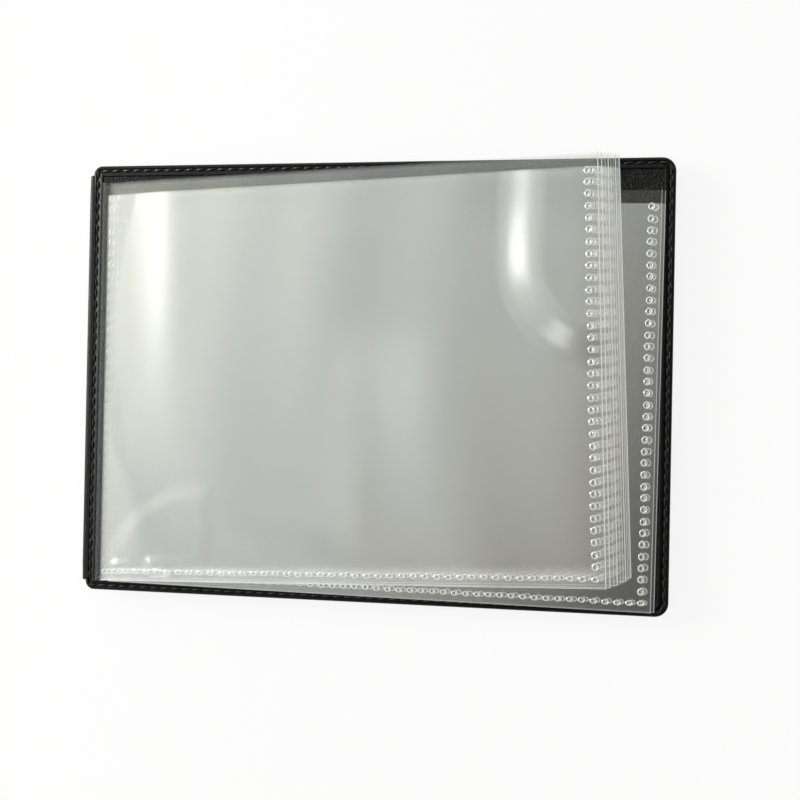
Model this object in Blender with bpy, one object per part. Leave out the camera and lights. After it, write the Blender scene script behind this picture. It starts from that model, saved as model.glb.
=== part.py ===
"""Banknote album: two stitched leatherette covers on a soft spine, and twelve clear welded pocket leaves.

The album lies open on a table with its front cover folded right round under the back cover, lining down.
+X runs from the binding to the free edges of the leaves, +Y to the open mouths of the pockets, +Z up.
"""

import math

import bmesh
import bpy
from mathutils import Matrix, Vector

MM = 0.001

# Covers, in millimetres
ALBUM_WIDTH = 195.0
COVER_HEIGHT = 145.0
COVER_THICK = 3.4
COVER_GAP = 0.6
CORNER_LEFT = 3.0
CORNER_RIGHT = 4.4
CORNER_LEAST = 0.35
CORNER_STEPS = 5
EDGE_ROUND = 0.95
EDGE_STEPS = 3
SKIN_THICK = 0.8
TURN_IN = 3.7
WALL_THICK = 0.85
LAYER_GAP = 0.15
LINING_GAP = 0.25

# Edge stitching: a thread ring sunk in a groove on each face of a cover
SEAM_INSET = 1.75
SEAM_GROOVE_WIDTH = 1.0
SEAM_GROOVE_DEPTH = 0.55
THREAD_RADIUS = 0.2
THREAD_SINK = 0.28
THREAD_SIDES = 6

# Soft spine strip between the left edges of the covers
SPINE_THICK = 0.8
SPINE_CLEAR = 0.3
SPINE_END_INSET = 3.4
SPINE_SKIVE = 5.0
SPINE_SKIVE_THICK = 0.25
SPINE_EDGE = 0.25

# Leaves, counted from the top one down
LEAF_COUNT = 12
FANNED_LEAVES = 10
LEAF_HEIGHT = 132.5
TOP_LEAF_WIDTH = 162.0
FAN_STEP = 1.35
FAN_STEP_LOSS = 0.05
FLAT_LEAF_WIDTH = 179.8
FLAT_LEAF_STEP = 1.2
FAN_ASKEW = math.radians(2.1)
FAN_ASKEW_STEP = math.radians(0.055)
FLAT_ASKEW = math.radians(-0.55)
FAN_MIDDLE = -1.4
FLAT_MIDDLE = -2.9
LEAF_CORNER = 0.6
LEAF_CORNER_STEPS = 2
FILM_THICK = 0.15
POCKET_GAP = 0.12
LEAF_PITCH = 0.60
LEAF_BASE_GAP = 0.12
TOP_LEAF_RISE = 6.2
MOUTH_CUT = 4.2

# Beaded weld that closes a pocket at its left side, foot and right side
WELD_WIDTH = 2.3
WELD_SIDE_INSET = 2.0
WELD_FOOT_INSET = 1.8
WELD_BINDING_INSET = 0.7
WELD_TOP_INSET = 0.8
BEAD_PITCH = 3.65
BEAD_RISE = 0.3
BEAD_GAP_SHARE = 0.45

# Binding block: the left margins of the leaves fused into one laminated bar
TURN_AXIS_X = -87.6
TURN_AXIS_ABOVE = 0.1
BINDING_GAP = 0.2
BLOCK_WIDTH = 1.7
BLOCK_FLUTE = 0.22
BLOCK_TOP_GAP = 0.05

COVER_RIGHT = ALBUM_WIDTH / 2
COVER_LEFT = -ALBUM_WIDTH / 2 + SPINE_THICK + SPINE_CLEAR
BACK_COVER_FOOT = COVER_THICK + COVER_GAP
LINING_LEVEL = BACK_COVER_FOOT + COVER_THICK
SPINE_MIDDLE_X = -ALBUM_WIDTH / 2 + SPINE_THICK / 2
LEAF_LEFT = TURN_AXIS_X + BINDING_GAP
LEAF_THICK = 2 * FILM_THICK + POCKET_GAP
STACK_FOOT = LINING_LEVEL + LEAF_BASE_GAP
STACK_TOP = STACK_FOOT + (LEAF_COUNT - 1) * LEAF_PITCH + LEAF_THICK
TURN_AXIS_Z = STACK_TOP + TURN_AXIS_ABOVE

SPINE_PIVOT = Vector((SPINE_MIDDLE_X, 0.0, LINING_LEVEL)) * MM
FRONT_PIVOT = Vector((SPINE_MIDDLE_X, 0.0, 0.0)) * MM
LEAF_PIVOT = Vector((TURN_AXIS_X, 0.0, TURN_AXIS_Z)) * MM


def clear_scene():
    for item in list(bpy.data.objects):
        bpy.data.objects.remove(item, do_unlink=True)


def make_material(name, colour, roughness, alpha=1.0):
    material = bpy.data.materials.new(name)
    material.use_nodes = True
    shader = material.node_tree.nodes["Principled BSDF"]
    shader.inputs["Base Color"].default_value = (*colour, 1.0)
    shader.inputs["Roughness"].default_value = roughness
    shader.inputs["Metallic"].default_value = 0.0
    shader.inputs["Alpha"].default_value = alpha
    return material


def make_pivot(name, place, parent=None):
    pivot = bpy.data.objects.new(name, None)
    pivot.location = place
    bpy.context.scene.collection.objects.link(pivot)
    if parent:
        pivot.parent = parent
        pivot.location = place - parent.matrix_world.translation
    bpy.context.view_layer.update()
    return pivot


def add_object(name, shape, material, pivot):
    """Turns a bmesh in millimetres, placed in the album's frame, into an object on its pivot."""
    bmesh.ops.recalc_face_normals(shape, faces=shape.faces)
    bmesh.ops.transform(shape, matrix=Matrix.Scale(MM, 4), verts=shape.verts)
    bmesh.ops.translate(shape, vec=-pivot.matrix_world.translation, verts=shape.verts)
    mesh = bpy.data.meshes.new(name)
    shape.to_mesh(mesh)
    shape.free()
    mesh.materials.append(material)
    item = bpy.data.objects.new(name, mesh)
    bpy.context.scene.collection.objects.link(item)
    item.parent = pivot
    return item


def cover_loop(inset):
    """Points of the cover's outline, drawn in by an inset, anticlockwise from the lower left corner."""
    half_height = COVER_HEIGHT / 2
    corners = (
        (COVER_LEFT, -half_height, 1, 1, CORNER_LEFT, 180),
        (COVER_RIGHT, -half_height, -1, 1, CORNER_RIGHT, 270),
        (COVER_RIGHT, half_height, -1, -1, CORNER_RIGHT, 0),
        (COVER_LEFT, half_height, 1, -1, CORNER_LEFT, 90),
    )
    points = []
    for x, y, inward_x, inward_y, corner_round, start in corners:
        radius = max(corner_round - inset, CORNER_LEAST)
        centre_x = x + inward_x * (inset + radius)
        centre_y = y + inward_y * (inset + radius)
        for step in range(CORNER_STEPS + 1):
            angle = math.radians(start + 90 * step / CORNER_STEPS)
            points.append((centre_x + radius * math.cos(angle), centre_y + radius * math.sin(angle)))
    return points


def loft_cover(profile, ring=False):
    """Lofts the cover's outline through (inset, height) pairs; a ring closes on itself, the rest is capped."""
    shape = bmesh.new()
    loops = []
    for inset, height in profile:
        loops.append([shape.verts.new((x, y, height)) for x, y in cover_loop(inset)])
    pairs = list(zip(loops, loops[1:]))
    if ring:
        pairs.append((loops[-1], loops[0]))
    else:
        shape.faces.new(loops[0])
        shape.faces.new(loops[-1])
    for lower, upper in pairs:
        count = len(lower)
        for here in range(count):
            after = (here + 1) % count
            shape.faces.new((lower[here], lower[after], upper[after], upper[here]))
    return shape


def edge_arc(start_angle, centre_height):
    """A quarter round of the cover's edge, as (inset, height) pairs."""
    arc = []
    for step in range(EDGE_STEPS + 1):
        angle = math.radians(start_angle + 90 * step / EDGE_STEPS)
        inset = EDGE_ROUND - EDGE_ROUND * math.cos(angle)
        arc.append((inset, centre_height + EDGE_ROUND * math.sin(angle)))
    return arc


def skin_profile():
    """Section of the outer skin: outer face, sunk seam, rounded edge, sunk seam, turned-in lip."""
    groove_near = SEAM_INSET - SEAM_GROOVE_WIDTH / 2
    groove_far = SEAM_INSET + SEAM_GROOVE_WIDTH / 2
    lip_under = COVER_THICK - SKIN_THICK
    outer_face = [
        (groove_far, 0.0),
        (groove_far, SEAM_GROOVE_DEPTH),
        (groove_near, SEAM_GROOVE_DEPTH),
        (groove_near, 0.0),
    ]
    edge = edge_arc(-90, EDGE_ROUND) + edge_arc(0, COVER_THICK - EDGE_ROUND)
    lip = [
        (groove_near, COVER_THICK),
        (groove_near, COVER_THICK - SEAM_GROOVE_DEPTH),
        (groove_far, COVER_THICK - SEAM_GROOVE_DEPTH),
        (groove_far, COVER_THICK),
        (TURN_IN, COVER_THICK),
        (TURN_IN, lip_under),
        (WALL_THICK, lip_under),
        (WALL_THICK, SKIN_THICK),
    ]
    return outer_face + edge + lip


def thread_profile(centre_height):
    turns = [2 * math.pi * side / THREAD_SIDES for side in range(THREAD_SIDES)]
    return [
        (SEAM_INSET + THREAD_RADIUS * math.cos(turn), centre_height + THREAD_RADIUS * math.sin(turn))
        for turn in turns
    ]


def make_cover(prefix, pivot, placing, finishes):
    """Skin, board, lining and two thread rings of one cover, built outer face down and then placed."""
    board_foot = SKIN_THICK + LAYER_GAP
    board_top = COVER_THICK - SKIN_THICK - LAYER_GAP
    board_inset = WALL_THICK + LAYER_GAP
    lining_inset = TURN_IN + LINING_GAP
    lining_foot = COVER_THICK - SKIN_THICK
    shapes = (
        ("outer_skin", loft_cover(skin_profile()), "skin"),
        ("board", loft_cover([(board_inset, board_foot), (board_inset, board_top)]), "board"),
        ("lining", loft_cover([(lining_inset, lining_foot), (lining_inset, COVER_THICK)]), "lining"),
        ("inner_stitching", loft_cover(thread_profile(COVER_THICK - THREAD_SINK), ring=True), "thread"),
        ("outer_stitching", loft_cover(thread_profile(THREAD_SINK), ring=True), "thread"),
    )
    for name, shape, finish in shapes:
        bmesh.ops.transform(shape, matrix=placing, verts=shape.verts)
        add_object(f"{prefix}_{name}", shape, finishes[finish], pivot)


def make_spine(pivot, finishes):
    """A strip on edge, skived thin at both ends so that it runs out into the covers' round corners."""
    inner_x = COVER_LEFT - SPINE_CLEAR
    foot = SPINE_CLEAR
    top = LINING_LEVEL - SPINE_CLEAR
    end = COVER_HEIGHT / 2 - SPINE_END_INSET
    sections = (
        (-end, SPINE_SKIVE_THICK),
        (-end + SPINE_SKIVE, SPINE_THICK),
        (end - SPINE_SKIVE, SPINE_THICK),
        (end, SPINE_SKIVE_THICK),
    )
    shape = bmesh.new()
    loops = []
    for y, thick in sections:
        edge = min(SPINE_EDGE, thick / 2)
        outer_x = inner_x - thick
        ring = (
            (inner_x, foot),
            (outer_x + edge, foot),
            (outer_x, foot + edge),
            (outer_x, top - edge),
            (outer_x + edge, top),
            (inner_x, top),
        )
        loops.append([shape.verts.new((x, y, z)) for x, z in ring])
    shape.faces.new(loops[0])
    shape.faces.new(loops[-1])
    for near, far in zip(loops, loops[1:]):
        count = len(near)
        for here in range(count):
            after = (here + 1) % count
            shape.faces.new((near[here], near[after], far[after], far[here]))
    add_object("spine_strip", shape, finishes["skin"], pivot)


def leaf_width(number):
    if number <= FANNED_LEAVES:
        return TOP_LEAF_WIDTH + (number - 1) * (FAN_STEP - FAN_STEP_LOSS * (number - 1))
    return FLAT_LEAF_WIDTH + FLAT_LEAF_STEP * (number - FANNED_LEAVES - 1)


def leaf_slope(number):
    """Rise of a leaf for each millimetre from the binding: all of the fan at the top, none at the last leaf."""
    return TOP_LEAF_RISE / TOP_LEAF_WIDTH * (LEAF_COUNT - number) / (LEAF_COUNT - 1)


def leaf_height(number, x):
    """Height of a leaf's underside at a distance along the album; the leaves fan open from the binding."""
    return STACK_FOOT + (LEAF_COUNT - number) * LEAF_PITCH + leaf_slope(number) * (x - LEAF_LEFT)


def bead_rise(across):
    """Height of a weld bead: it takes a share of the free gap below the next leaf up."""
    fan = TOP_LEAF_RISE / TOP_LEAF_WIDTH / (LEAF_COUNT - 1) * across
    return min(BEAD_RISE, BEAD_GAP_SHARE * (LEAF_PITCH - LEAF_THICK + fan))


def leaf_point(number, across, up):
    """Place on a leaf, from the distance across from its binding edge and the distance up from its foot.

    The binding edge stays square to the covers and the free edge lies askew, as the leaf has slipped.
    """
    fanned = number <= FANNED_LEAVES
    askew = FAN_ASKEW + FAN_ASKEW_STEP * (number - 1) if fanned else FLAT_ASKEW
    middle = FAN_MIDDLE if fanned else FLAT_MIDDLE
    turn = askew * across / leaf_width(number)
    rise = up - LEAF_HEIGHT / 2
    x = LEAF_LEFT + across * math.cos(askew) - rise * math.sin(turn)
    y = middle + across * math.sin(askew) + rise * math.cos(turn)
    return x, y


def film_outline(number, top):
    """Outline of one film with its two free corners rounded, anticlockwise from the binding's foot."""
    width = leaf_width(number)
    points = [(0.0, 0.0)]
    for centre_up, start in ((LEAF_CORNER, 270), (top - LEAF_CORNER, 0)):
        for step in range(LEAF_CORNER_STEPS + 1):
            angle = math.radians(start + 90 * step / LEAF_CORNER_STEPS)
            across = width - LEAF_CORNER + LEAF_CORNER * math.cos(angle)
            points.append((across, centre_up + LEAF_CORNER * math.sin(angle)))
    points.append((0.0, top))
    return points


def even_steps(start, end, pitch):
    count = max(round(abs(end - start) / pitch), 1)
    return [start + (end - start) * step / count for step in range(count + 1)]


def weld_cells(number, top):
    """Cells of the U-shaped weld, one to a bead: binding side, foot and free side, as corner rectangles."""
    right = leaf_width(number) - WELD_SIDE_INSET
    left = leaf_width(number) - TOP_LEAF_WIDTH + WELD_BINDING_INSET
    inner_left, inner_right = left + WELD_WIDTH, right - WELD_WIDTH
    inner_foot = WELD_FOOT_INSET + WELD_WIDTH
    ups = [WELD_FOOT_INSET] + even_steps(inner_foot, top - WELD_TOP_INSET, BEAD_PITCH)
    acrosses = even_steps(inner_left, inner_right, BEAD_PITCH)
    cells = []
    for low, high in zip(ups, ups[1:]):
        cells.append((left, inner_left, low, high))
        cells.append((inner_right, right, low, high))
    for near, far in zip(acrosses, acrosses[1:]):
        cells.append((near, far, WELD_FOOT_INSET, inner_foot))
    return cells


def add_weld(shape, number, top):
    """Row of pyramid beads on the film's upper face; returns the open rim round the whole row."""
    corners = {}

    def corner(across, up):
        key = (round(across, 4), round(up, 4))
        if key not in corners:
            corners[key] = shape.verts.new((across, up, FILM_THICK))
        return corners[key]

    sides = []
    for near, far, low, high in weld_cells(number, top):
        ring = [corner(near, low), corner(far, low), corner(far, high), corner(near, high)]
        middle = (near + far) / 2
        tip = shape.verts.new((middle, (low + high) / 2, FILM_THICK + bead_rise(middle)))
        for here in range(len(ring)):
            sides.append(shape.faces.new((ring[here - 1], ring[here], tip)))
    return [edge for face in sides for edge in face.edges if edge.is_boundary]


def wall_between(shape, lower, upper):
    for here in range(len(lower)):
        shape.faces.new((lower[here - 1], lower[here], upper[here], upper[here - 1]))


def make_film(name, number, above_leaf, top, welded, finish, pivot):
    """One film, laid out as (across, up, lift) and then fanned into place; a welded film has the beads."""
    shape = bmesh.new()
    outline = film_outline(number, top)
    lower = [shape.verts.new((across, up, 0.0)) for across, up in outline]
    upper = [shape.verts.new((across, up, FILM_THICK)) for across, up in outline]
    shape.faces.new(lower)
    wall_between(shape, lower, upper)
    if welded:
        rim = add_weld(shape, number, top)
        rim += [shape.edges.get((upper[here - 1], upper[here])) for here in range(len(upper))]
        bmesh.ops.triangle_fill(shape, use_beauty=True, use_dissolve=False, edges=rim)
    else:
        shape.faces.new(upper)
    bmesh.ops.triangulate(shape, faces=shape.faces)
    for vert in shape.verts:
        across, up, lift = vert.co
        x, y = leaf_point(number, across, up)
        vert.co = (x, y, leaf_height(number, x) + above_leaf + lift)
    add_object(name, shape, finish, pivot)


def make_leaf(number, pivot, finishes):
    label = f"page_{number:02d}"
    front_foot = FILM_THICK + POCKET_GAP
    make_film(f"{label}_back_film", number, 0.0, LEAF_HEIGHT, False, finishes["film"], pivot)
    mouth = LEAF_HEIGHT - MOUTH_CUT
    make_film(f"{label}_front_film", number, front_foot, mouth, True, finishes["film"], pivot)


def make_binding_block(pivot, finishes):
    """Bar of fused leaf margins, fluted on its left side where the leaf edges show as laminations."""
    right = TURN_AXIS_X - BINDING_GAP / 2
    left = right - BLOCK_WIDTH
    foot = STACK_FOOT
    top = STACK_TOP - BLOCK_TOP_GAP
    lamination = (top - foot) / LEAF_COUNT
    section = [(right, foot)]
    section.append((right, top))
    for layer in range(LEAF_COUNT, 0, -1):
        section.append((left, foot + lamination * layer))
        section.append((left + BLOCK_FLUTE, foot + lamination * (layer - 0.5)))
    section.append((left, foot))
    shape = bmesh.new()
    near = [shape.verts.new((x, FAN_MIDDLE - LEAF_HEIGHT / 2, z)) for x, z in section]
    far = [shape.verts.new((x, FAN_MIDDLE + LEAF_HEIGHT / 2, z)) for x, z in section]
    shape.faces.new(near)
    shape.faces.new(far)
    wall_between(shape, near, far)
    add_object("binding_block", shape, finishes["film"], pivot)


def main():
    clear_scene()
    finishes = {
        "skin": make_material("black_leatherette", (0.012, 0.012, 0.013), 0.42),
        "board": make_material("grey_board", (0.32, 0.30, 0.27), 0.9),
        "lining": make_material("grained_black_lining", (0.016, 0.016, 0.017), 0.55),
        "thread": make_material("black_thread", (0.03, 0.03, 0.032), 0.5),
        "film": make_material("clear_film", (0.86, 0.88, 0.89), 0.12, alpha=0.3),
    }
    back = make_pivot("back_cover_pivot", Vector((0.0, 0.0, 0.0)))
    spine = make_pivot("spine_pivot", SPINE_PIVOT, back)
    front = make_pivot("front_cover_pivot", FRONT_PIVOT, spine)
    make_cover("back", back, Matrix.Translation((0.0, 0.0, BACK_COVER_FOOT)), finishes)
    face_down = Matrix.Translation((0.0, 0.0, COVER_THICK)) @ Matrix.Rotation(math.pi, 4, "X")
    make_cover("front", front, face_down, finishes)
    make_spine(spine, finishes)
    make_binding_block(back, finishes)
    make_leaf(LEAF_COUNT, back, finishes)
    carrier = back
    for number in range(LEAF_COUNT - 1, 0, -1):
        carrier = make_pivot(f"page_{number:02d}_pivot", LEAF_PIVOT, carrier)
        make_leaf(number, carrier, finishes)


main()
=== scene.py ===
"""Looks of the banknote album: grained leatherette covers with sewn edges, and clear welded pocket leaves."""

import math

import bmesh
import bpy
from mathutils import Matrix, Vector


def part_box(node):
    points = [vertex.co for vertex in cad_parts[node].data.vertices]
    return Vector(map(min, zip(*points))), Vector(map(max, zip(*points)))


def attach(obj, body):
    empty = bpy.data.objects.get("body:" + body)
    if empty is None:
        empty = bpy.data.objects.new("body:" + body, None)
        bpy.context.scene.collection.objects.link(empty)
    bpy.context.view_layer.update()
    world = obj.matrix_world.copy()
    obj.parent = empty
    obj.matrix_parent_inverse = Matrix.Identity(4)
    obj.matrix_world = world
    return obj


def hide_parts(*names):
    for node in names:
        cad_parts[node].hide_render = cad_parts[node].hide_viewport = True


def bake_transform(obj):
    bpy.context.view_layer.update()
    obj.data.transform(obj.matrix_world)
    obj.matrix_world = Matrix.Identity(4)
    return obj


MM = 0.001

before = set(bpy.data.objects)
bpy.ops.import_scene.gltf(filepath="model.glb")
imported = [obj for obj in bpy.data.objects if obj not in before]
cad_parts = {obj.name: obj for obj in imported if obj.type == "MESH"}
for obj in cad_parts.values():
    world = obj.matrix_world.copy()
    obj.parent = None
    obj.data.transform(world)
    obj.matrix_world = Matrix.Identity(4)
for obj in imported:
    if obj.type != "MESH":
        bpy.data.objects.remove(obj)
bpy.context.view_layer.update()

# Covers
TURN_IN = 3.7 * MM
LIP_BEVEL = 0.15 * MM
SKIN_THICK = 0.8 * MM
CORNER_LEFT = 3.0 * MM
CORNER_RIGHT = 4.4 * MM
CORNER_LEAST = 0.35 * MM
CORNER_POINTS = 9
EDGE_ROUND = 1.05 * MM
EDGE_POINTS = 6
SHARP_ANGLE = math.radians(50)

# Seam: rows of points across it are counted in parts of its half width
SEAM_INSET = 1.75 * MM
SEAM_VALLEY = 0.42 * MM
SEAM_HALF_WIDTH = 0.75 * MM
SEAM_PUCKER = 0.10 * MM
SEAM_ROWS = range(-2, 7)
SEAM_ROW_PARTS = 3
SIDE_POINTS_PER_STITCH = 6
LEAST_RUN = 1e-9

# Stitches: sink and dive are shares of the seam's valley at the middle and towards the ends
STITCH_PITCH = 3.7 * MM
STITCH_LENGTH = 3.1 * MM
STITCH_SLANT = math.radians(5)
STITCH_RINGS = 7
STITCH_SIDES = 6
STITCH_TIP = 0.05
STITCH_SINK = 0.30
STITCH_DIVE = 0.75
THREAD_RADIUS = 0.27 * MM

# Soft hinges: the turned-in skin runs on from each cover over its edge to the spine strip
HINGE_THICK = 0.34 * MM
HINGE_SINK = 0.10 * MM
HINGE_LAP = 1.15 * MM
HINGE_DROP = 2.9 * MM
HINGE_END_TAPER = 6.0 * MM
HINGE_END_SHARE = 0.35
HINGE_RIM_SHARE = 0.3
HINGE_ARC_POINTS = 9
HINGE_ROWS = 24

# Leaves, counted from the top one down
LEAF_COUNT = 12
FANNED_LEAVES = 10
LEAF_HEIGHT = 132.5 * MM
TOP_LEAF_WIDTH = 162.0 * MM
FAN_STEP = 1.35 * MM
FAN_STEP_LOSS = 0.05 * MM
FLAT_LEAF_WIDTH = 179.8 * MM
FLAT_LEAF_STEP = 1.2 * MM
FAN_ASKEW = math.radians(2.1)
FAN_ASKEW_STEP = math.radians(0.055)
FLAT_ASKEW = math.radians(-0.55)
FAN_MIDDLE = -1.4 * MM
FLAT_MIDDLE = -2.9 * MM
FILM_THICK = 0.15 * MM
POCKET_GAP = 0.12 * MM
LEAF_PITCH = 0.60 * MM
TOP_LEAF_RISE = 6.2 * MM
MOUTH_CUT = 4.2 * MM
FILM_CELLS_ACROSS = 72
FILM_CELLS_UP = 48
FILM_CROWDING = 0.4

# Cut edges with a painted highlight, a white strip in place of the light they catch, and the leaves on which
# they catch most light
CUT_EDGE_WIDTH = 0.26 * MM
FOOT_EDGE_WIDTH = 0.16 * MM
BRIGHT_EDGE_HIGHLIGHT_LEAVES = (1, 2, 4, 7, 10)

# Swell of the leaves: the bow beside the binding, soft ripples, pinned edges, a ridge and two creases
BOW_RISE = 0.35 * MM
BOW_RUN = 14.0 * MM
HELD_FLAT = 2.5 * MM
RIPPLE_RISE = 0.13 * MM
RIPPLE_LENGTH = 38.0 * MM
RIPPLE_LEAN = 1.6
RIPPLE_SWAY = 3
PILLOW_RISE = 0.12 * MM
PILLOW_RUN = 6.0 * MM
BINDING_RIDGE_RISE = 0.36 * MM
BINDING_RIDGE_ACROSS = 24.0 * MM
BINDING_RIDGE_WIDTH = 8.0 * MM
BINDING_RIDGE_START = 0.45 * LEAF_HEIGHT
BINDING_RIDGE_FULL = 0.8 * LEAF_HEIGHT
CREASE_FADE = (0.2, 0.9)
ARC_CREASE_RISE = 0.30 * MM
ARC_CREASE_CENTRE = (164.0 * MM, 104.0 * MM)
ARC_CREASE_RADIUS = 25.0 * MM
ARC_CREASE_WIDTH = 5.2 * MM
CORNER_CREASE_RISE = 0.15 * MM
CORNER_CREASE_CENTRE = (42.0 * MM, 46.0 * MM)
CORNER_CREASE_RADIUS = 46.0 * MM
CORNER_CREASE_WIDTH = 3.0 * MM

# Dents of the top film: middle across and up, inner and outer radius, rise, height from which the sides run
# straight up, and the distance to the right over which a dent fades
TOP_FILM_DENTS = (
    (166.0 * MM, 100.0 * MM, 20.0 * MM, 36.0 * MM, 4.1 * MM, 0.0, 40.0 * MM),
    (33.8 * MM, -2.3 * MM, 28.5 * MM, 34.5 * MM, 0.45 * MM, 1.0, 6.0 * MM),
    (18.4 * MM, 5.2 * MM, 0.4 * MM, 4.2 * MM, 0.68 * MM, 1.0, 16.0 * MM),
    (5.8 * MM, 4.6 * MM, 0.4 * MM, 3.4 * MM, 0.40 * MM, 1.0, 9.0 * MM),
    (148.0 * MM, 80.0 * MM, 143.0 * MM, 150.0 * MM, -0.5 * MM, 1.0, 1.0),
    (130.0 * MM, 220.0 * MM, 82.0 * MM, 112.0 * MM, 2.4 * MM, 1.0, 1.0),
    (66.0 * MM, 58.0 * MM, 39.0 * MM, 58.0 * MM, 1.2 * MM, 0.0, 30.0 * MM),
)

# Weld beads along the two sides and the foot of a pocket; each ring is a share of the size and of the rise
BEAD_PITCH = 3.65 * MM
BEAD_SIDE_SIZE = (2.5 * MM, 2.75 * MM)
BEAD_FOOT_SIZE = (2.75 * MM, 2.0 * MM)
BEAD_RISE = 0.36 * MM
BEAD_SIDE_INSET = 3.15 * MM
BEAD_FOOT_INSET = 2.95 * MM
BEAD_BINDING_INSET = 1.85 * MM
BEAD_END_GAP = 2.4 * MM
BEAD_SIDES = 12
BEAD_RINGS = ((1.0, 0.0), (0.90, 0.55), (0.72, 1.0), (0.50, 0.60), (0.36, 0.12), (0.14, 0.05))
# Rings painted white as a highlight, in place of the glints the beads catch
BEAD_HIGHLIGHT_RINGS = (1, 2)
BEAD_CLEAR_SHARE = 0.42
BEAD_WANDER = 0.12 * MM
BEAD_UNEVEN = 0.15
BEAD_UNEVEN_STEP = 12.9
BEAD_UNEVEN_LEAF_STEP = 7.7
BEAD_WANDER_STEP = 5.3
BINDING_BEAD_SHARE = 0.6

# Leather grain
GRAIN_WARP = {"Scale": 260.0, "Detail": 2.0}
GRAIN_WARP_REACH = 1.6 * MM
GRAIN_FINE = {"Scale": 2400.0, "Detail": 3.0}
GRAIN_FINE_SHARE = 0.25
GRAIN_PEBBLE_ROUND = 0.22
GRAIN_STRENGTH = 0.6
LEATHER_SPECULAR = 0.24

# Grained finishes: material, grain scale, grain depth, colours of pebble and crease (the darker crease colour
# is painted shade), roughness of both
LEATHER_FINISHES = {
    "leatherette": (
        "black_leatherette", 1300.0, 0.06 * MM,
        (0.0075, 0.0075, 0.008, 1.0), (0.003, 0.003, 0.003, 1.0), (0.32, 0.5),
    ),
    "lining": (
        "grained_black_lining", 1050.0, 0.34 * MM,
        (0.014, 0.014, 0.014, 1.0), (0.002, 0.002, 0.002, 1.0), (0.26, 0.6),
    ),
}

# Thread and board
THREAD_BLACK = (0.022, 0.022, 0.023, 1.0)
THREAD_ROUGH = (0.3, 0.48)
THREAD_TWIST = {"Scale": 900.0, "Distortion": 1.5}
THREAD_TWIST_BUMP = {"Strength": 0.5, "Distance": 0.05 * MM}
BOARD_TINTS = ((0.24, 0.22, 0.19, 1.0), (0.42, 0.40, 0.36, 1.0))
BOARD_PULP = {"Scale": 900.0, "Detail": 4.0}
BOARD_ROUGH = 0.9

# Clear film, and the most that it mirrors when seen head on, whatever its finish
FILM_IOR = 1.49
FILM_CLEAR = (0.995, 0.994, 0.992, 1.0)
FILM_GLOSS = (0.972, 0.985, 0.984, 1.0)
# White of the film's haze; on cut edges and bead rims it is a painted highlight
FILM_HAZE_AND_HIGHLIGHT_WHITE = (0.88, 0.88, 0.87, 1.0)
MIRROR_CAP = 0.32

# Film finishes: material, mirror gain, share of white haze and roughness; on the cut edges and bead rims the
# white haze is a painted highlight
FILM_FINISHES = {
    "rear_film": ("clear_rear_film", 0.45, 0.004, 0.13),
    "pocket_film": ("clear_pocket_film", 5.0, 0.012, 0.13),
    # White cut edges are a painted highlight; the faint one is a darker copy of it for the other leaves
    "edge_painted_highlight": ("cut_edge_painted_highlight", 5.0, 0.95, 0.2),
    "bead": ("weld_bead_film", 4.5, 0.03, 0.08),
    # White bead rims are a painted highlight, brighter on the flat leaves' copy
    "bead_rim_highlight": ("weld_bead_rim_highlight", 6.0, 0.62, 0.12),
    # The flat leaves' pocket film is a lighter copy of the pocket film; its extra white haze is painted light
    "flat_pocket_film_painted_light": ("clear_flat_pocket_film_painted_light", 8.0, 0.05, 0.13),
    "faint_edge_painted_highlight": ("faint_cut_edge_painted_highlight", 3.0, 0.32, 0.2),
    "flat_bead_rim_highlight": ("flat_weld_bead_rim_highlight", 9.0, 0.85, 0.12),
    "fused": ("fused_film_margin", 0.6, 0.006, 0.25),
}
TOP_FILM_FINISH = ("clear_top_pocket_film", 5.0, 0.012, 0.21)

# Camera, in the frame of the 800 by 800 picture
PICTURE_PIXELS = 800
FOCAL_PIXELS = 900
SENSOR = 36.0
NEAR_CLIP = 0.01
CAMERA_PLACE = Vector((50.4, -7.1, 298.5)) * MM
CAMERA_TURN = (math.radians(0.42), math.radians(7.66), math.radians(1.15))

# Floor
WHITE = (1.0, 1.0, 1.0, 1.0)
FLOOR_HALF = 1.6
FLOOR_LEVEL = -0.2 * MM
FLOOR_PALE = (0.95, 0.95, 0.95, 1.0)
FLOOR_WHITE_SHARE = 0.88

# Lamps: name, place, the point it aims at, size and watts
LAMPS = (
    ("window_left", (-1.10, 0.30, 0.50), (0.0, 0.0, 0.0), (0.5, 0.5), 15.0),
    ("window_glow", (-0.88, 0.24, 0.80), (-0.05, 0.0, 0.0), (0.5, 0.3), 0.7),
    ("window_front", (-0.50, -0.65, 0.95), (0.0, 0.0, 0.0), (0.3, 0.3), 0.4),
    ("ceiling_strip", (-0.29, -0.07, 1.2), (0.0, -0.12, 0.0), (0.36, 0.10), 0.038),
)
CLEAR_LAYERS = 64

# Room light: levels along a line from the lower right of the room to the window at its upper left
ROOM_LINE = (-0.83, 0.55, 0.0)
ROOM_REACH = (-0.5, 1.0)
ROOM_LEVELS = (
    (-0.50, (0.03, 0.03, 0.03)),
    (-0.20, (0.09, 0.088, 0.08)),
    (-0.08, (0.35, 0.345, 0.30)),
    (0.02, (0.51, 0.515, 0.47)),
    (0.25, (0.605, 0.65, 0.65)),
    (0.38, (0.84, 0.875, 0.83)),
    (0.50, (1.04, 1.05, 0.95)),
    (0.62, (1.00, 1.01, 0.93)),
    (1.00, (0.72, 0.73, 0.72)),
)

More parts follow.
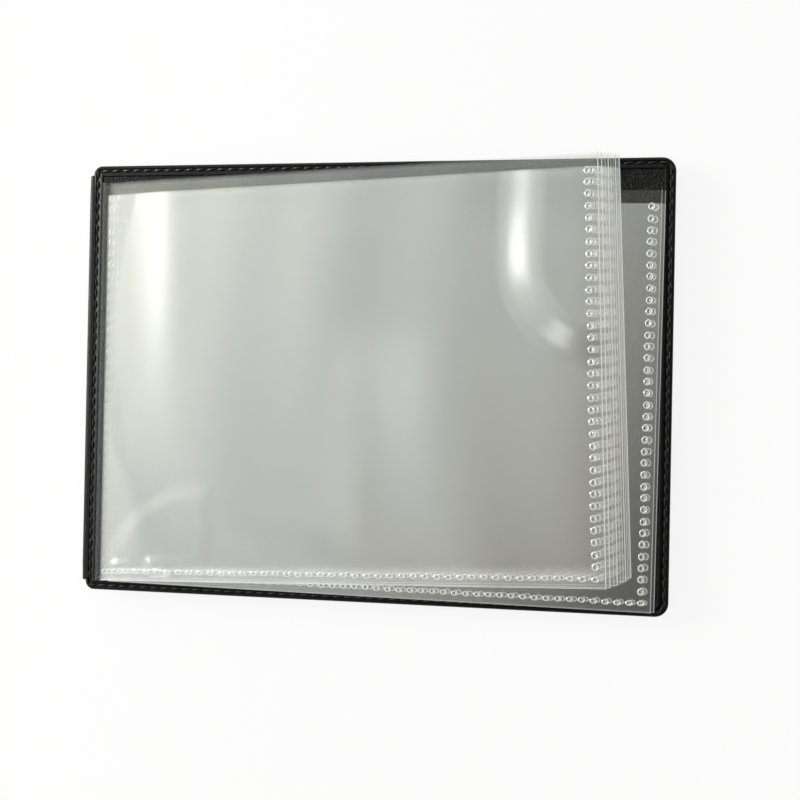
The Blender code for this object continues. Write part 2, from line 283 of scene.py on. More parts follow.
skin_low, skin_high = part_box("back_outer_skin")
front_low, front_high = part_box("front_outer_skin")
strip_low, strip_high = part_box("spine_strip")
leaf_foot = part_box("page_12_back_film")[0]
LEAF_LEFT = leaf_foot.x
STACK_FOOT = leaf_foot.z
COVER_THICK = skin_high.z - skin_low.z
LEAF_THICK = 2 * FILM_THICK + POCKET_GAP

# Materials by the name of their finish
finish = {}


# Mesh helpers

def smooth(value, low, high):
    """Soft step from 0 to 1 between two values."""
    share = min(max((value - low) / (high - low), 0.0), 1.0)
    return share * share * (3 - 2 * share)


def tube_faces(start, rings, count):
    """Faces of a closed tube: rings of count points each, one after the other from the point at start."""
    faces = []
    for ring in range(rings - 1):
        base = start + ring * count
        for here in range(count):
            after = (here + 1) % count
            faces.append((base + here, base + after, base + count + after, base + count + here))
    last = start + (rings - 1) * count
    faces.append(tuple(range(start, start + count)))
    faces.append(tuple(range(last, last + count)))
    return faces


def add_mesh(name, verts, faces, materials):
    mesh = bpy.data.meshes.new(name)
    mesh.from_pydata(verts, [], faces)
    shape = bmesh.new()
    shape.from_mesh(mesh)
    bmesh.ops.recalc_face_normals(shape, faces=shape.faces)
    shape.to_mesh(mesh)
    shape.free()
    for material in materials:
        mesh.materials.append(material)
    mesh.shade_smooth()
    mesh.set_sharp_from_angle(angle=SHARP_ANGLE)
    piece = bpy.data.objects.new(name, mesh)
    bpy.context.scene.collection.objects.link(piece)
    return piece


def add_piece(name, verts, faces, body, materials):
    piece = add_mesh(name, verts, faces, materials)
    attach(piece, body)
    return piece


def paint_highlight_faces(piece, chosen):
    """Gives the chosen faces of a piece its second material, which is a painted highlight."""
    for polygon, second in zip(piece.data.polygons, chosen):
        polygon.material_index = int(second)


# Materials

def new_material(name):
    material = bpy.data.materials.new(name)
    material.use_nodes = True
    tree = material.node_tree
    tree.nodes.clear()
    output = tree.nodes.new("ShaderNodeOutputMaterial")
    return material, tree, output


def add_node(tree, kind, values=None, **settings):
    node = tree.nodes.new(kind)
    for name, value in settings.items():
        setattr(node, name, value)
    for socket, value in (values or {}).items():
        node.inputs[socket].default_value = value
    return node


def make_grain_group():
    """Pebbled leather grain: a height for bump, and a crease mask for roughness and for painted shade in the
    creases.
    """
    group = bpy.data.node_groups.new("leather_grain", "ShaderNodeTree")
    group.interface.new_socket("Scale", in_out="INPUT", socket_type="NodeSocketFloat")
    group.interface.new_socket("Height", in_out="OUTPUT", socket_type="NodeSocketFloat")
    group.interface.new_socket("Crease", in_out="OUTPUT", socket_type="NodeSocketFloat")
    start = group.nodes.new("NodeGroupInput")
    end = group.nodes.new("NodeGroupOutput")
    place = add_node(group, "ShaderNodeTexCoord")
    warp = add_node(group, "ShaderNodeTexNoise", GRAIN_WARP)
    shift = add_node(group, "ShaderNodeVectorMath", {1: 3 * (GRAIN_WARP_REACH,)}, operation="MULTIPLY")
    moved = add_node(group, "ShaderNodeVectorMath", operation="ADD")
    cells = add_node(group, "ShaderNodeTexVoronoi", feature="DISTANCE_TO_EDGE")
    fine = add_node(group, "ShaderNodeTexNoise", GRAIN_FINE)
    rounded = add_node(
        group, "ShaderNodeMapRange", {"From Max": GRAIN_PEBBLE_ROUND}, interpolation_type="SMOOTHSTEP"
    )
    mixed = add_node(group, "ShaderNodeMath", {1: GRAIN_FINE_SHARE}, operation="MULTIPLY_ADD")
    crease = add_node(group, "ShaderNodeMath", {0: 1.0}, operation="SUBTRACT")
    links = group.links
    links.new(place.outputs["Object"], warp.inputs["Vector"])
    links.new(warp.outputs["Color"], shift.inputs[0])
    links.new(place.outputs["Object"], moved.inputs[0])
    links.new(shift.outputs[0], moved.inputs[1])
    links.new(moved.outputs[0], cells.inputs["Vector"])
    links.new(start.outputs["Scale"], cells.inputs["Scale"])
    links.new(place.outputs["Object"], fine.inputs["Vector"])
    links.new(cells.outputs["Distance"], rounded.inputs["Value"])
    links.new(fine.outputs["Fac"], mixed.inputs[0])
    links.new(rounded.outputs["Result"], mixed.inputs[2])
    links.new(mixed.outputs[0], end.inputs["Height"])
    links.new(rounded.outputs["Result"], crease.inputs[1])
    links.new(crease.outputs[0], end.inputs["Crease"])
    return group


def leather_material(grain, name, scale, depth, pebble, crease, roughness):
    material, tree, output = new_material(name)
    pores = add_node(tree, "ShaderNodeGroup", node_tree=grain)
    pores.inputs["Scale"].default_value = scale
    # Darker colour in the grain's creases: painted shade
    colour = add_node(tree, "ShaderNodeMix", {"A": pebble, "B": crease}, data_type="RGBA")
    rough = add_node(tree, "ShaderNodeMapRange", {"To Min": roughness[0], "To Max": roughness[1]})
    bump = add_node(tree, "ShaderNodeBump", {"Strength": GRAIN_STRENGTH, "Distance": depth})
    shader = add_node(tree, "ShaderNodeBsdfPrincipled", {"Specular IOR Level": LEATHER_SPECULAR})
    links = tree.links
    links.new(pores.outputs["Crease"], colour.inputs["Factor"])
    links.new(colour.outputs["Result"], shader.inputs["Base Color"])
    links.new(pores.outputs["Crease"], rough.inputs["Value"])
    links.new(rough.outputs["Result"], shader.inputs["Roughness"])
    links.new(pores.outputs["Height"], bump.inputs["Height"])
    links.new(bump.outputs["Normal"], shader.inputs["Normal"])
    links.new(shader.outputs["BSDF"], output.inputs["Surface"])
    return material


def thread_material():
    material, tree, output = new_material("black_sewing_thread")
    place = add_node(tree, "ShaderNodeTexCoord")
    twist = add_node(tree, "ShaderNodeTexWave", THREAD_TWIST, bands_direction="DIAGONAL")
    bump = add_node(tree, "ShaderNodeBump", THREAD_TWIST_BUMP)
    rough = add_node(tree, "ShaderNodeMapRange", {"To Min": THREAD_ROUGH[0], "To Max": THREAD_ROUGH[1]})
    shader = add_node(tree, "ShaderNodeBsdfPrincipled", {"Base Color": THREAD_BLACK})
    links = tree.links
    links.new(place.outputs["Object"], twist.inputs["Vector"])
    links.new(twist.outputs["Fac"], bump.inputs["Height"])
    links.new(twist.outputs["Fac"], rough.inputs["Value"])
    links.new(rough.outputs["Result"], shader.inputs["Roughness"])
    links.new(bump.outputs["Normal"], shader.inputs["Normal"])
    links.new(shader.outputs["BSDF"], output.inputs["Surface"])
    return material


def add_dents(tree, dents):
    """Bump for soft dents of the top film: each rises by a step towards its middle, between two radii."""
    place = add_node(tree, "ShaderNodeTexCoord")
    links = tree.links
    height = None
    for across, up, inner, outer, rise, straight_from, fade_end in dents:
        middle = leaf_place(1, across, up, 0.0)
        off = add_node(tree, "ShaderNodeVectorMath", {1: middle}, operation="SUBTRACT")
        parts = add_node(tree, "ShaderNodeSeparateXYZ")
        capped = add_node(tree, "ShaderNodeMath", {1: straight_from}, operation="MINIMUM")
        leftward = add_node(tree, "ShaderNodeMath", {1: 0.0}, operation="MINIMUM")
        flat = add_node(tree, "ShaderNodeCombineXYZ")
        reach = add_node(tree, "ShaderNodeVectorMath", operation="LENGTH")
        step = add_node(
            tree, "ShaderNodeMapRange", {"From Min": outer, "From Max": inner, "To Max": rise},
            interpolation_type="SMOOTHSTEP",
        )
        fade = add_node(
            tree, "ShaderNodeMapRange", {"From Min": fade_end, "From Max": 0.0},
            interpolation_type="SMOOTHSTEP",
        )
        total = add_node(tree, "ShaderNodeMath", {2: 0.0}, operation="MULTIPLY_ADD")
        links.new(place.outputs["Object"], off.inputs[0])
        links.new(off.outputs["Vector"], parts.inputs["Vector"])
        links.new(parts.outputs["Y"], capped.inputs[0])
        links.new(parts.outputs["X"], leftward.inputs[0])
        links.new(leftward.outputs[0], flat.inputs["X"])
        links.new(capped.outputs[0], flat.inputs["Y"])
        links.new(flat.outputs["Vector"], reach.inputs[0])
        links.new(reach.outputs["Value"], step.inputs["Value"])
        links.new(parts.outputs["X"], fade.inputs["Value"])
        links.new(step.outputs["Result"], total.inputs[0])
        links.new(fade.outputs["Result"], total.inputs[1])
        if height is not None:
            links.new(height.outputs[0], total.inputs[2])
        height = total
    bump = add_node(tree, "ShaderNodeBump", {"Strength": 1.0, "Distance": 1.0})
    links.new(height.outputs[0], bump.inputs["Height"])
    return bump


def film_material(name, mirror_gain, haze_and_highlight_share, roughness, dents=()):
    """Clear film: its outer face mirrors a share of the light, scatters some as white haze and lets the rest
    through; on cut edges and bead rims that white is a painted highlight.
    """
    material, tree, output = new_material(name)
    facing = add_node(tree, "ShaderNodeNewGeometry")
    edge_on = add_node(tree, "ShaderNodeFresnel", {"IOR": FILM_IOR})
    outside = add_node(tree, "ShaderNodeMath", {0: 1.0}, operation="SUBTRACT")
    gain = add_node(tree, "ShaderNodeMath", {1: mirror_gain}, operation="MULTIPLY")
    capped = add_node(tree, "ShaderNodeMath", {1: MIRROR_CAP}, operation="MINIMUM")
    glancing = add_node(tree, "ShaderNodeMath", operation="MAXIMUM")
    mirror = add_node(tree, "ShaderNodeMath", operation="MULTIPLY", use_clamp=True)
    haze_and_highlight_weight = add_node(tree, "ShaderNodeMath", {1: haze_and_highlight_share}, operation="MULTIPLY")
    clear = add_node(tree, "ShaderNodeBsdfTransparent", {"Color": FILM_CLEAR})
    gloss = add_node(tree, "ShaderNodeBsdfGlossy", {"Color": FILM_GLOSS, "Roughness": roughness})
    haze_and_highlight_white = add_node(tree, "ShaderNodeBsdfDiffuse", {"Color": FILM_HAZE_AND_HIGHLIGHT_WHITE})
    clear_with_haze_and_highlight = add_node(tree, "ShaderNodeMixShader")
    film = add_node(tree, "ShaderNodeMixShader")
    links = tree.links
    links.new(facing.outputs["Backfacing"], outside.inputs[1])
    links.new(outside.outputs[0], haze_and_highlight_weight.inputs[0])
    links.new(edge_on.outputs["Fac"], gain.inputs[0])
    links.new(gain.outputs[0], capped.inputs[0])
    links.new(capped.outputs[0], glancing.inputs[0])
    links.new(edge_on.outputs["Fac"], glancing.inputs[1])
    links.new(glancing.outputs[0], mirror.inputs[0])
    links.new(outside.outputs[0], mirror.inputs[1])
    links.new(haze_and_highlight_weight.outputs[0], clear_with_haze_and_highlight.inputs[0])
    links.new(clear.outputs["BSDF"], clear_with_haze_and_highlight.inputs[1])
    links.new(haze_and_highlight_white.outputs["BSDF"], clear_with_haze_and_highlight.inputs[2])
    links.new(mirror.outputs[0], film.inputs[0])
    links.new(clear_with_haze_and_highlight.outputs["Shader"], film.inputs[1])
    links.new(gloss.outputs["BSDF"], film.inputs[2])
    links.new(film.outputs["Shader"], output.inputs["Surface"])
    if dents:
        links.new(add_dents(tree, dents).outputs["Normal"], gloss.inputs["Normal"])
    return material


def board_material():
    material, tree, output = new_material("grey_board")
    place = add_node(tree, "ShaderNodeTexCoord")
    pulp = add_node(tree, "ShaderNodeTexNoise", BOARD_PULP)
    tint = add_node(tree, "ShaderNodeValToRGB")
    for stop, colour in zip(tint.color_ramp.elements, BOARD_TINTS):
        stop.color = colour
    shader = add_node(tree, "ShaderNodeBsdfPrincipled", {"Roughness": BOARD_ROUGH})
    tree.links.new(place.outputs["Object"], pulp.inputs["Vector"])
    tree.links.new(pulp.outputs["Fac"], tint.inputs["Fac"])
    tree.links.new(tint.outputs["Color"], shader.inputs["Base Color"])
    tree.links.new(shader.outputs["BSDF"], output.inputs["Surface"])
    return material


def make_finishes():
    grain = make_grain_group()
    for key, values in LEATHER_FINISHES.items():
        finish[key] = leather_material(grain, *values)
    finish["thread"] = thread_material()
    for key, values in FILM_FINISHES.items():
        finish[key] = film_material(*values)
    finish["board"] = board_material()
    finish["top_pocket_film"] = film_material(*TOP_FILM_FINISH, TOP_FILM_DENTS)


# Covers

def cover_path(inset):
    """Points of the cover's outline drawn in by an inset, each with its distance along the seam."""
    low_x, high_x = skin_low.x, skin_high.x
    low_y, high_y = skin_low.y, skin_high.y
    # Each corner's place, the way inward, its round and the angle at which its arc starts
    corners = (
        (low_x, low_y, 1, 1, CORNER_LEFT, 180),
        (high_x, low_y, -1, 1, CORNER_RIGHT, 270),
        (high_x, high_y, -1, -1, CORNER_RIGHT, 0),
        (low_x, high_y, 1, -1, CORNER_LEFT, 90),
    )

    def corner_arc(corner, by):
        x, y, inward_x, inward_y, corner_round, start = corner
        radius = max(corner_round - by, CORNER_LEAST)
        centre = Vector((x + inward_x * (by + radius), y + inward_y * (by + radius)))
        arc = []
        for step in range(CORNER_POINTS):
            angle = math.radians(start + 90 * step / (CORNER_POINTS - 1))
            arc.append(centre + radius * Vector((math.cos(angle), math.sin(angle))))
        return arc

    points = []
    seam_points = []
    for here, corner in enumerate(corners):
        following = corners[(here + 1) % len(corners)]
        arc, seam_arc = corner_arc(corner, inset), corner_arc(corner, SEAM_INSET)
        far, seam_far = corner_arc(following, inset)[0], corner_arc(following, SEAM_INSET)[0]
        points += arc
        seam_points += seam_arc
        side = (seam_far - seam_arc[-1]).length
        cells = SIDE_POINTS_PER_STITCH * round(side / STITCH_PITCH)
        for cell in range(1, cells):
            share = cell / cells
            points.append(arc[-1].lerp(far, share))
            seam_points.append(seam_arc[-1].lerp(seam_far, share))
    along = [0.0]
    for before, after in zip(seam_points, seam_points[1:]):
        along.append(along[-1] + (after - before).length)
    return points, along


def seam_dip(inset, distance):
    """How far the skin is drawn down by the stitching, deepest at the needle holes."""
    off = (inset - SEAM_INSET) / SEAM_HALF_WIDTH
    hole = 0.5 + 0.5 * math.cos(2 * math.pi * distance / STITCH_PITCH)
    return (SEAM_VALLEY + SEAM_PUCKER * hole) * math.exp(-off * off)


def cover_profile():
    """Section of the skin as (inset, height, face sign); the sign says which way the seam sinks."""
    seam_steps = [SEAM_INSET + SEAM_HALF_WIDTH * row / SEAM_ROW_PARTS for row in SEAM_ROWS]
    outer = [(inset, 0.0, 1) for inset in reversed(seam_steps)]
    edge = []
    for start, centre in ((-90, EDGE_ROUND), (0, COVER_THICK - EDGE_ROUND)):
        for step in range(EDGE_POINTS + 1):
            angle = math.radians(start + 90 * step / EDGE_POINTS)
            edge.append((EDGE_ROUND * (1 - math.cos(angle)), centre + EDGE_ROUND * math.sin(angle), 0))
    lip = [(inset, COVER_THICK, -1) for inset in seam_steps]
    lip_under = COVER_THICK - SKIN_THICK
    inside = [
        (TURN_IN - LIP_BEVEL, COVER_THICK, -1),
        (TURN_IN, COVER_THICK - LIP_BEVEL, 0),
        (TURN_IN, lip_under, 0),
        (SKIN_THICK, lip_under, 0),
        (SKIN_THICK, SKIN_THICK, 0),
    ]
    return outer + edge + lip + inside


def make_cover_skin(name, body, foot, upward, replaced):
    """Outer skin of one cover with its rolled edge, sunk seam and turned-in lip."""
    verts = []
    profile = cover_profile()
    for inset, height, sign in profile:
        for point, distance in zip(*cover_path(inset)):
            lift = height + sign * seam_dip(inset, distance)
            verts.append((point.x, point.y, foot + upward * lift))
    faces = tube_faces(0, len(profile), len(verts) // len(profile))
    piece = add_piece(name, verts, faces, body, [finish["leatherette"]])
    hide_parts(replaced)


def seam_walk():
    """Evenly spaced places along the seam, each with its direction."""
    points, along = cover_path(SEAM_INSET)
    points = points + [points[0]]
    along = along + [along[-1] + (points[-1] - points[-2]).length]
    total = along[-1]
    count = round(total / STITCH_PITCH)
    places = []
    step = 0
    for stitch in range(count):
        wanted = total * (stitch + 0.5) / count
        while along[step + 1] < wanted:
            step += 1
        run = points[step + 1] - points[step]
        share = (wanted - along[step]) / max(along[step + 1] - along[step], LEAST_RUN)
        places.append((points[step].lerp(points[step + 1], share), run.normalized()))
    return places


def make_stitches(name, body, level, outward, replaced):
    """A row of single stitches, each a short bowed thread that dives into the skin at both ends."""
    verts, faces = [], []
    cos_slant, sin_slant = math.cos(STITCH_SLANT), math.sin(STITCH_SLANT)
    for place, direction in seam_walk():
        run = Vector((
            direction.x * cos_slant - direction.y * sin_slant,
            direction.x * sin_slant + direction.y * cos_slant,
        ))
        across = Vector((-run.y, run.x))
        faces += tube_faces(len(verts), STITCH_RINGS, STITCH_SIDES)
        for ring in range(STITCH_RINGS):
            share = 2 * ring / (STITCH_RINGS - 1) - 1
            plump = math.sqrt(max(1 - share ** 4, STITCH_TIP))
            centre = place + run * (share * STITCH_LENGTH / 2)
            bow = -SEAM_VALLEY * (STITCH_SINK + STITCH_DIVE * share * share)
            for side in range(STITCH_SIDES):
                turn = 2 * math.pi * side / STITCH_SIDES
                wide = across * (THREAD_RADIUS * plump * math.cos(turn))
                high = bow + THREAD_RADIUS * plump * math.sin(turn)
                verts.append((centre.x + wide.x, centre.y + wide.y, level + outward * high))
    piece = add_piece(name, verts, faces, body, [finish["thread"]])
    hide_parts(replaced)


def hinge_path(level, down):
    """Middle line of a hinge as (x, z): from the cover's lip, round its edge, on to the side of the spine."""
    side_x = strip_low.x
    lip_z = level - down * HINGE_SINK
    radius = skin_low.x - side_x
    path = [(skin_low.x + HINGE_LAP, lip_z), (skin_low.x + HINGE_LAP / 2, lip_z)]
    for step in range(HINGE_ARC_POINTS):
        angle = math.radians(90 * step / (HINGE_ARC_POINTS - 1))
        path.append((skin_low.x - radius * math.sin(angle), lip_z - down * radius * (1 - math.cos(angle))))
    path.append((side_x, level - down * HINGE_DROP))
    return path


def make_hinge(name, level, down):
    """Soft flap between a cover and the spine, thinner towards its ends and along both rims."""
    path = hinge_path(level, down)
    verts, faces = [], []
    count = len(path)
    rims = (0, count - 1)
    half = strip_high.y
    for row in range(HINGE_ROWS + 1):
        y = half * (2 * row / HINGE_ROWS - 1)
        full = smooth(half - abs(y), 0.0, HINGE_END_TAPER)
        thick = HINGE_THICK * (HINGE_END_SHARE + (1 - HINGE_END_SHARE) * full)
        for side in (0.5, -0.5):
            for here, (x, z) in enumerate(path):
                before, after = path[max(here - 1, 0)], path[min(here + 1, count - 1)]
                run = Vector((after[0] - before[0], after[1] - before[1])).normalized()
                share = HINGE_RIM_SHARE if here in rims else 1.0
                out = Vector((run.y, -run.x)) * (thick * side * share)
                verts.append((x + out.x, y, z + out.y))
    ring = list(range(count)) + list(range(2 * count - 1, count - 1, -1))
    for row in range(HINGE_ROWS):
        base = row * 2 * count
        for here in range(len(ring)):
            first, second = base + ring[here - 1], base + ring[here]
            faces.append((first, second, second + 2 * count, first + 2 * count))
    faces.append(tuple(ring))
    faces.append(tuple(HINGE_ROWS * 2 * count + here for here in ring))
    piece = add_mesh(name, verts, faces, [finish["leatherette"]])
    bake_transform(piece)


def make_covers():
    make_hinge("back_cover_hinge", skin_high.z, 1)
    make_hinge("front_cover_hinge", front_low.z, -1)
    make_cover_skin("back_cover_skin", "back_cover", skin_low.z, 1, "back_outer_skin")
    make_cover_skin("front_cover_skin", "front_cover", front_high.z, -1, "front_outer_skin")
    rows = (
        ("back_lining_stitches", "back_cover", skin_high.z, 1, "back_inner_stitching"),
        ("back_outer_stitches", "back_cover", skin_low.z, -1, "back_outer_stitching"),
        ("front_lining_stitches", "front_cover", front_low.z, -1, "front_inner_stitching"),
        ("front_outer_stitches", "front_cover", front_high.z, 1, "front_outer_stitching"),
    )
    for row in rows:
        make_stitches(*row)
    plain_pieces = (
        ("back_lining", "lining"),
        ("front_lining", "lining"),
        ("back_board", "board"),
        ("front_board", "board"),
        ("spine_strip", "leatherette"),
        ("binding_block", "fused"),
    )
    for node, material in plain_pieces:
        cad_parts[node].data.materials.clear()
        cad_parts[node].data.materials.append(finish[material])


# Leaves

def leaf_width(number):
    if number <= FANNED_LEAVES:
        return TOP_LEAF_WIDTH + (number - 1) * (FAN_STEP - FAN_STEP_LOSS * (number - 1))
    return FLAT_LEAF_WIDTH + FLAT_LEAF_STEP * (number - FANNED_LEAVES - 1)


def lift_share(number):
    """Share of the top leaf's rise that a leaf has, down to none at the last."""
    return (LEAF_COUNT - number) / (LEAF_COUNT - 1)


def leaf_bow(number, across):
    run = across / BOW_RUN
    return BOW_RISE * (1 - math.exp(-run * run)) * (1 - across / leaf_width(number))


def arc_crease(across, up, rise, centre, radius, width):
    """A ridge along the lower left part of a circle."""
    run, climb = across - centre[0], up - centre[1]
    off = (math.hypot(run, climb) - radius) / width
    facing = smooth(-run - climb, CREASE_FADE[0] * radius, CREASE_FADE[1] * radius)
    return rise * math.exp(-off * off) * facing


def swell(number, across, up):
    """How far a leaf stands off its flat place; it shrinks from the top leaf down, so leaves never cross."""
    width = leaf_width(number)
    held = smooth(across, HELD_FLAT, BOW_RUN)
    sway = RIPPLE_LEAN * math.sin(RIPPLE_SWAY * up / LEAF_HEIGHT)
    ripple = RIPPLE_RISE * math.sin(2 * math.pi * across / RIPPLE_LENGTH + sway) * held
    edge = min(width - across, up)
    pillow = PILLOW_RISE * (1 - math.exp(-edge / PILLOW_RUN)) * held
    off = (across - BINDING_RIDGE_ACROSS) / BINDING_RIDGE_WIDTH
    ridge = BINDING_RIDGE_RISE * math.exp(-off * off) * smooth(up, BINDING_RIDGE_START, BINDING_RIDGE_FULL)
    creases = arc_crease(across, up, ARC_CREASE_RISE, ARC_CREASE_CENTRE, ARC_CREASE_RADIUS, ARC_CREASE_WIDTH)
    creases += arc_crease(
        across, up, CORNER_CREASE_RISE, CORNER_CREASE_CENTRE, CORNER_CREASE_RADIUS, CORNER_CREASE_WIDTH
    )
    return lift_share(number) * (leaf_bow(number, across) + ripple + pillow + held * (ridge + creases))


def leaf_place(number, across, up, lift):
    """Place on a leaf: across from its binding edge, up from its foot and lifted above its underside."""
    fanned = number <= FANNED_LEAVES
    askew = FAN_ASKEW + FAN_ASKEW_STEP * (number - 1) if fanned else FLAT_ASKEW
    middle = FAN_MIDDLE if fanned else FLAT_MIDDLE
    turn = askew * across / leaf_width(number)
    rise = up - LEAF_HEIGHT / 2
    x = LEAF_LEFT + across * math.cos(askew) - rise * math.sin(turn)
    y = middle + across * math.sin(askew) + rise * math.cos(turn)
    slope = TOP_LEAF_RISE / TOP_LEAF_WIDTH * lift_share(number)
    z = STACK_FOOT + (LEAF_COUNT - number) * LEAF_PITCH + slope * (x - LEAF_LEFT)
    return Vector((x, y, z + swell(number, across, up) + lift))


def film_across(number):
    """Distances across a film, closer together beside the binding, with a last step for the cut edge."""
    reach = leaf_width(number) - CUT_EDGE_WIDTH
    steps = []
    for cell in range(FILM_CELLS_ACROSS + 1):
        share = cell / FILM_CELLS_ACROSS
        steps.append(reach * ((1 - FILM_CROWDING) * share + FILM_CROWDING * share * share))
    return steps + [leaf_width(number)]


def film_up(top):
    """Distances up a film, with a first step for the cut edge at its foot."""
    reach = top - FOOT_EDGE_WIDTH
    return [0.0] + [FOOT_EDGE_WIDTH + reach * cell / FILM_CELLS_UP for cell in range(FILM_CELLS_UP + 1)]


def make_film(name, number, body, lift, top, replaced, clear, edge_highlight_finish):
    """One closed film: two faces that follow the leaf's swell, with a white painted highlight along the cut
    edges.
    """
    across_steps, up_steps = film_across(number), film_up(top)
    rows, columns = len(up_steps), len(across_steps)
    layer = rows * columns
    verts = []
    for level in (lift, lift + FILM_THICK):
        for up in up_steps:
            for across in across_steps:
                verts.append(leaf_place(number, across, up, level))
    faces, at_edge = [], []
    for row in range(rows - 1):
        for column in range(columns - 1):
            first = row * columns + column
            quad = (first, first + 1, first + columns + 1, first + columns)
            faces.append(quad)
            faces.append(tuple(corner + layer for corner in quad))
            at_edge += 2 * [row == 0 or column == columns - 2]
    rim = list(range(columns))
    rim += [row * columns + columns - 1 for row in range(1, rows)]
    rim += [(rows - 1) * columns + column for column in range(columns - 2, -1, -1)]
    rim += [row * columns for row in range(rows - 2, 0, -1)]
    for here in range(len(rim)):
        before, after = rim[here - 1], rim[here]
        faces.append((before, after, after + layer, before + layer))
        at_edge.append(before % columns > 0 or after % columns > 0)
    piece = add_piece(name, verts, faces, body, [finish[clear], finish[edge_highlight_finish]])
    paint_highlight_faces(piece, at_edge)
    piece.visible_shadow = False
    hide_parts(replaced)


def bead_room(number, across):
    """Free height above a leaf, up to the leaf over it."""
    step = 1 / (LEAF_COUNT - 1)
    slope = TOP_LEAF_RISE / TOP_LEAF_WIDTH * across * step
    return LEAF_PITCH - LEAF_THICK + slope + leaf_bow(number, across) * step


def bead_places(number):
    """Beads as (across, up, size, rim highlighted): up both sides, then along the foot; the binding side's
    beads get no painted highlight.
    """
    top = LEAF_HEIGHT - MOUTH_CUT
    right = leaf_width(number) - BEAD_SIDE_INSET
    left = leaf_width(number) - TOP_LEAF_WIDTH + BEAD_BINDING_INSET
    places = []
    up_count = round((top - BEAD_FOOT_INSET - BEAD_END_GAP) / BEAD_PITCH)
    for step in range(1, up_count + 1):
        up = BEAD_FOOT_INSET + step * BEAD_PITCH
        places.append((left, up, BEAD_SIDE_SIZE, False))
        places.append((right, up, BEAD_SIDE_SIZE, True))
    foot_count = round((right - left) / BEAD_PITCH)
    for step in range(foot_count + 1):
        places.append((left + (right - left) * step / foot_count, BEAD_FOOT_INSET, BEAD_FOOT_SIZE, True))
    return places


def make_beads(name, number, body):
    """Weld beads of one leaf: rings that stand on the front film, each a clear dimple in a rim painted white
    as a highlight.
    """
    verts, faces, white = [], [], []
    for count, (across, up, size, rim_highlighted) in enumerate(bead_places(number)):
        uneven = math.sin(BEAD_UNEVEN_STEP * count + BEAD_UNEVEN_LEAF_STEP * number)
        rise = min(BEAD_RISE, BEAD_CLEAR_SHARE * bead_room(number, across))
        rise *= 1 - BEAD_UNEVEN + BEAD_UNEVEN * uneven
        rise *= 1.0 if rim_highlighted else BINDING_BEAD_SHARE
        up += BEAD_WANDER * math.sin(BEAD_WANDER_STEP * count + number)
        across += BEAD_WANDER * uneven
        faces += tube_faces(len(verts), len(BEAD_RINGS), BEAD_SIDES)
        for reach, height in BEAD_RINGS:
            for side in range(BEAD_SIDES):
                turn = 2 * math.pi * side / BEAD_SIDES
                wide = across + reach * size[0] / 2 * math.cos(turn)
                high = up + reach * size[1] / 2 * math.sin(turn)
                verts.append(leaf_place(number, wide, high, LEAF_THICK + rise * height))
        # Faces of the chosen rings get the painted highlight
        for ring in range(len(BEAD_RINGS) - 1):
            white += BEAD_SIDES * [rim_highlighted and ring in BEAD_HIGHLIGHT_RINGS]
        white += [False, False]
    # Rims get a painted highlight, brighter on the flat leaves
    rim_highlight_finish = "bead_rim_highlight" if number <= FANNED_LEAVES else "flat_bead_rim_highlight"
    piece = add_piece(name, verts, faces, body, [finish["bead"], finish[rim_highlight_finish]])
    paint_highlight_faces(piece, white)
    piece.visible_shadow = False


def make_leaves():
    pocket_lift = FILM_THICK + POCKET_GAP
    mouth = LEAF_HEIGHT - MOUTH_CUT
    for number in range(1, LEAF_COUNT + 1):
        label = f"page_{number:02d}"
        body = label if number < LEAF_COUNT else "back_cover"
        back, front = f"{label}_back_film", f"{label}_front_film"
        # Cut edges get a painted highlight, brighter on the leaves that catch most light
        edge_highlight_finish = "edge_painted_highlight" if number in BRIGHT_EDGE_HIGHLIGHT_LEAVES else "faint_edge_painted_highlight"
        # The flat leaves get the lighter copy of the pocket film, as painted light
        clear = "pocket_film" if number <= FANNED_LEAVES else "flat_pocket_film_painted_light"
        if number == 1:
            clear = "top_pocket_film"
        make_film(f"{label}_rear_sheet", number, body, 0.0, LEAF_HEIGHT, back, "rear_film", edge_highlight_finish)
        make_film(f"{label}_pocket_sheet", number, body, pocket_lift, mouth, front, clear, edge_highlight_finish)
        make_beads(f"{label}_weld_beads", number, body)


# Studio

def make_floor():
    """Pale floor; the eye and mirrors see most of it at plain white, and the rest keeps a soft shadow."""
    near, far, level = -FLOOR_HALF, FLOOR_HALF, FLOOR_LEVEL
    mesh = bpy.data.meshes.new("studio_floor")
    corners = [(near, near, level), (far, near, level), (far, far, level), (near, far, level)]
    mesh.from_pydata(corners, [], [(0, 1, 2, 3)])
    material, tree, output = new_material("pale_floor")
    seen = add_node(tree, "ShaderNodeLightPath")
    either = add_node(tree, "ShaderNodeMath", operation="MAXIMUM")
    any_of = add_node(tree, "ShaderNodeMath", operation="MAXIMUM")
    share = add_node(tree, "ShaderNodeMath", {1: FLOOR_WHITE_SHARE}, operation="MULTIPLY")
    matt = add_node(tree, "ShaderNodeBsdfDiffuse", {"Color": FLOOR_PALE})
    white = add_node(tree, "ShaderNodeEmission", {"Color": WHITE, "Strength": 1.0})
    mixed = add_node(tree, "ShaderNodeMixShader")
    links = tree.links
    links.new(seen.outputs["Is Camera Ray"], either.inputs[0])
    links.new(seen.outputs["Is Glossy Ray"], either.inputs[1])
    links.new(either.outputs[0], any_of.inputs[0])
    links.new(seen.outputs["Is Transmission Ray"], any_of.inputs[1])
    links.new(any_of.outputs[0], share.inputs[0])
    links.new(share.outputs[0], mixed.inputs[0])
    links.new(matt.outputs["BSDF"], mixed.inputs[1])
    links.new(white.outputs["Emission"], mixed.inputs[2])
    links.new(mixed.outputs["Shader"], output.inputs["Surface"])
    mesh.materials.append(material)
    floor = bpy.data.objects.new("studio_floor", mesh)
    bpy.context.scene.collection.objects.link(floor)


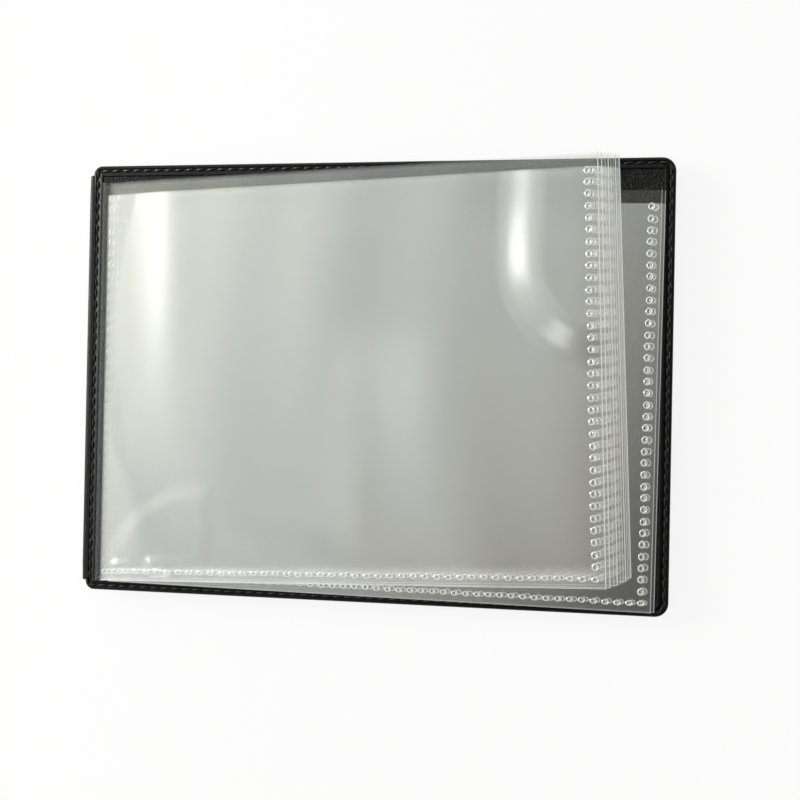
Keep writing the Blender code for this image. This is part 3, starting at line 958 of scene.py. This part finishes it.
def make_lamp(name, place, aim, size, watts):
    lamp = bpy.data.lights.new(name, "AREA")
    lamp.shape = "RECTANGLE"
    lamp.size, lamp.size_y = size
    lamp.energy = watts
    holder = bpy.data.objects.new(name, lamp)
    holder.location = place
    holder.rotation_euler = (Vector(aim) - Vector(place)).to_track_quat("-Z", "Y").to_euler()
    bpy.context.scene.collection.objects.link(holder)


def make_world():
    """Soft room light: bright towards the window on the left, dark at the front right, white to the eye."""
    world = bpy.data.worlds.new("room_light")
    world.use_nodes = True
    tree = world.node_tree
    back = tree.nodes["Background"]
    back.inputs["Strength"].default_value = 1.0
    place = add_node(tree, "ShaderNodeTexCoord")
    side = add_node(tree, "ShaderNodeVectorMath", {1: ROOM_LINE}, operation="DOT_PRODUCT")
    low, high = ROOM_REACH
    share = add_node(tree, "ShaderNodeMapRange", {"From Min": low, "From Max": high})
    levels = add_node(tree, "ShaderNodeValToRGB")
    stops = levels.color_ramp.elements
    while len(stops) < len(ROOM_LEVELS):
        stops.new(0.5)
    for stop, (where, colour) in zip(stops, ROOM_LEVELS):
        stop.position = (where - low) / (high - low)
        stop.color = (*colour, 1.0)
    seen = add_node(tree, "ShaderNodeLightPath")
    shown = add_node(tree, "ShaderNodeMix", {"B": WHITE}, data_type="RGBA")
    links = tree.links
    links.new(place.outputs["Generated"], side.inputs[0])
    links.new(side.outputs["Value"], share.inputs["Value"])
    links.new(share.outputs["Result"], levels.inputs["Fac"])
    links.new(seen.outputs["Is Camera Ray"], shown.inputs["Factor"])
    links.new(levels.outputs["Color"], shown.inputs["A"])
    links.new(shown.outputs["Result"], back.inputs["Color"])
    bpy.context.scene.world = world


def make_studio():
    scene = bpy.context.scene
    scene.view_settings.view_transform = "Standard"
    scene.cycles.transparent_max_bounces = CLEAR_LAYERS
    make_world()
    make_floor()
    for lamp in LAMPS:
        make_lamp(*lamp)


def make_camera():
    lens = bpy.data.cameras.new("photo_camera")
    lens.sensor_width = SENSOR
    lens.lens = SENSOR * FOCAL_PIXELS / PICTURE_PIXELS
    lens.clip_start = NEAR_CLIP
    camera = bpy.data.objects.new("photo_camera", lens)
    camera.location = CAMERA_PLACE
    camera.rotation_euler = CAMERA_TURN
    bpy.context.scene.collection.objects.link(camera)
    bpy.context.scene.camera = camera


make_finishes()
make_covers()
make_leaves()
make_studio()
make_camera()
